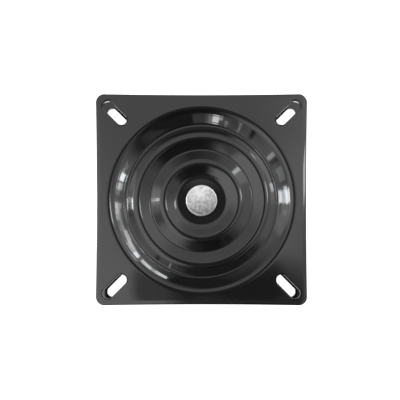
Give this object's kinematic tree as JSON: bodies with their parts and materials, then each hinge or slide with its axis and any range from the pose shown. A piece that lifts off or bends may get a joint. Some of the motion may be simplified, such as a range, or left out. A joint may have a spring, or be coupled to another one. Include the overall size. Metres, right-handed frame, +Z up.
{
  "type": "ball bearing swivel plate",
  "caption": "Square pressed-steel swivel plate for a TV lift: facing dished plates with ball races turn about a riveted centre; slotted corners take the mounting bolts.",
  "frame": {"origin": "centre of the lower plate's mounting face, on the swivel axis", "axes": "+Z up along the swivel axis, from the lower plate to the upper plate; X and Y along the sides of the plates"},
  "size_m": [0.1996, 0.1996, 0.025],
  "materials": {
    "black_paint": "black gloss paint on pressed steel",
    "rivet_metal": "bright zinc plate with a struck, lightly grained face",
    "bush_plastic": "moulded black nylon",
    "washer_metal": "zinc plated",
    "cage_plastic": "moulded natural nylon",
    "ball_steel": "ground and polished bearing steel"
  },
  "bodies": {
    "lower": {"lower_plate": "black_paint", "centre_rivet": "rivet_metal", "tail_washer": "washer_metal"},
    "upper": {"upper_plate": "black_paint", "pivot_bush": "bush_plastic"},
    "outer_row": {"outer_ball_cage": "cage_plastic", "outer_ball_01": "ball_steel", "outer_ball_02": "ball_steel", "outer_ball_03": "ball_steel", "outer_ball_04": "ball_steel", "outer_ball_05": "ball_steel", "outer_ball_06": "ball_steel", "outer_ball_07": "ball_steel", "outer_ball_08": "ball_steel", "outer_ball_09": "ball_steel", "outer_ball_10": "ball_steel", "outer_ball_11": "ball_steel", "outer_ball_12": "ball_steel", "outer_ball_13": "ball_steel", "outer_ball_14": "ball_steel", "outer_ball_15": "ball_steel", "outer_ball_16": "ball_steel", "outer_ball_17": "ball_steel", "outer_ball_18": "ball_steel", "outer_ball_19": "ball_steel", "outer_ball_20": "ball_steel"},
    "inner_row": {"inner_ball_cage": "cage_plastic", "inner_ball_01": "ball_steel", "inner_ball_02": "ball_steel", "inner_ball_03": "ball_steel", "inner_ball_04": "ball_steel", "inner_ball_05": "ball_steel", "inner_ball_06": "ball_steel", "inner_ball_07": "ball_steel", "inner_ball_08": "ball_steel", "inner_ball_09": "ball_steel", "inner_ball_10": "ball_steel", "inner_ball_11": "ball_steel", "inner_ball_12": "ball_steel"}
  },
  "joints": [
    {"name": "swivel", "type": "hinge", "parent": "lower", "child": "upper", "pos_m": [0, 0, 0.0125], "axis": [0, 0, 1], "continuous": true},
    {"name": "outer_row_orbit", "type": "hinge", "parent": "lower", "child": "outer_row", "pos_m": [0, 0, 0.0125], "axis": [0, 0, 1], "continuous": true},
    {"name": "inner_row_orbit", "type": "hinge", "parent": "lower", "child": "inner_row", "pos_m": [0, 0, 0.0125], "axis": [0, 0, 1], "continuous": true}
  ],
  "couplings": [
    {"joint": "outer_row_orbit", "follows": "swivel", "ratio": 0.5},
    {"joint": "inner_row_orbit", "follows": "swivel", "ratio": 0.5}
  ]
}
